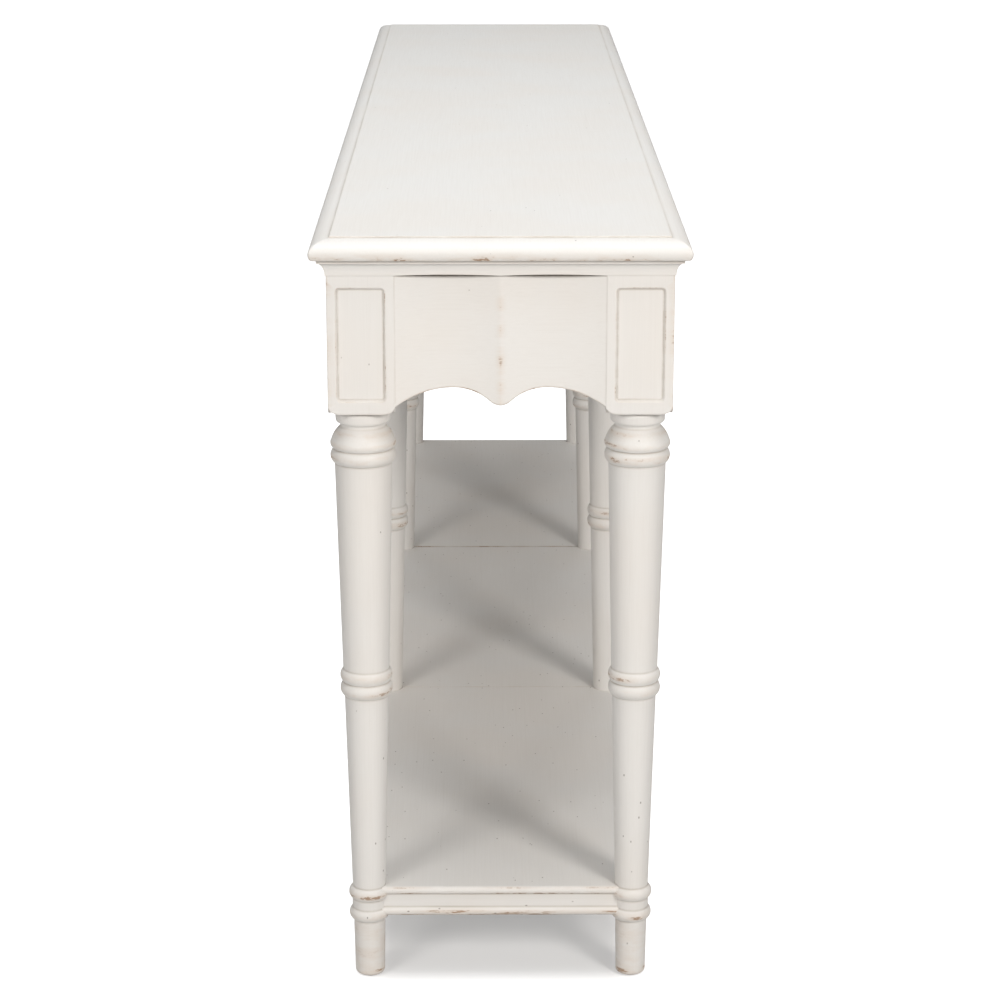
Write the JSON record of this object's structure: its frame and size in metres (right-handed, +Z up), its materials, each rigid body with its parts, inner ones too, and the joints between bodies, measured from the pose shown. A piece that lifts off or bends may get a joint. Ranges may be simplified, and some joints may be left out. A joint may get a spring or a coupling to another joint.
{
  "type": "console table",
  "caption": "Long narrow painted console table with turned legs in pairs, panelled leg heads, scalloped aprons, a moulded top and a low full-length shelf.",
  "frame": {"origin": "on the floor under the middle of the table", "axes": "+X along the table's length, +Y across it towards the back, +Z up"},
  "size_m": [2.211, 0.43, 0.912],
  "materials": {
    "painted_wood": "antique white paint, satin, rubbed through along edges and turnings",
    "bare_wood": "planed softwood, unpainted, inside the frame",
    "screw_steel": "zinc plated",
    "glide": "moulded nylon"
  },
  "bodies": {
    "root": {"top_board": "painted_wood", "cove_front": "painted_wood", "cove_back": "painted_wood", "cove_left": "painted_wood", "cove_right": "painted_wood", "leg_front_1": "painted_wood", "leg_front_2": "painted_wood", "leg_front_3": "painted_wood", "leg_front_4": "painted_wood", "leg_back_1": "painted_wood", "leg_back_2": "painted_wood", "leg_back_3": "painted_wood", "leg_back_4": "painted_wood", "apron_front_1": "painted_wood", "apron_front_2": "painted_wood", "apron_front_3": "painted_wood", "apron_back_1": "painted_wood", "apron_back_2": "painted_wood", "apron_back_3": "painted_wood", "apron_left": "painted_wood", "apron_right": "painted_wood", "shelf_rail_front_1": "painted_wood", "shelf_rail_front_2": "painted_wood", "shelf_rail_front_3": "painted_wood", "shelf_rail_back_1": "painted_wood", "shelf_rail_back_2": "painted_wood", "shelf_rail_back_3": "painted_wood", "shelf_rail_left": "painted_wood", "shelf_rail_right": "painted_wood", "shelf_board_1": "painted_wood", "shelf_board_2": "painted_wood", "shelf_board_3": "painted_wood", "bearer_1": "bare_wood", "bearer_2": "bare_wood", "corner_brace_front_left": "bare_wood", "corner_brace_front_right": "bare_wood", "corner_brace_back_left": "bare_wood", "corner_brace_back_right": "bare_wood", "shelf_cross_rail_1": "bare_wood", "shelf_cross_rail_2": "bare_wood", "lag_screws": "screw_steel", "top_screws": "screw_steel", "shelf_screws": "screw_steel", "foot_glides": "glide"}
  },
  "joints": []
}
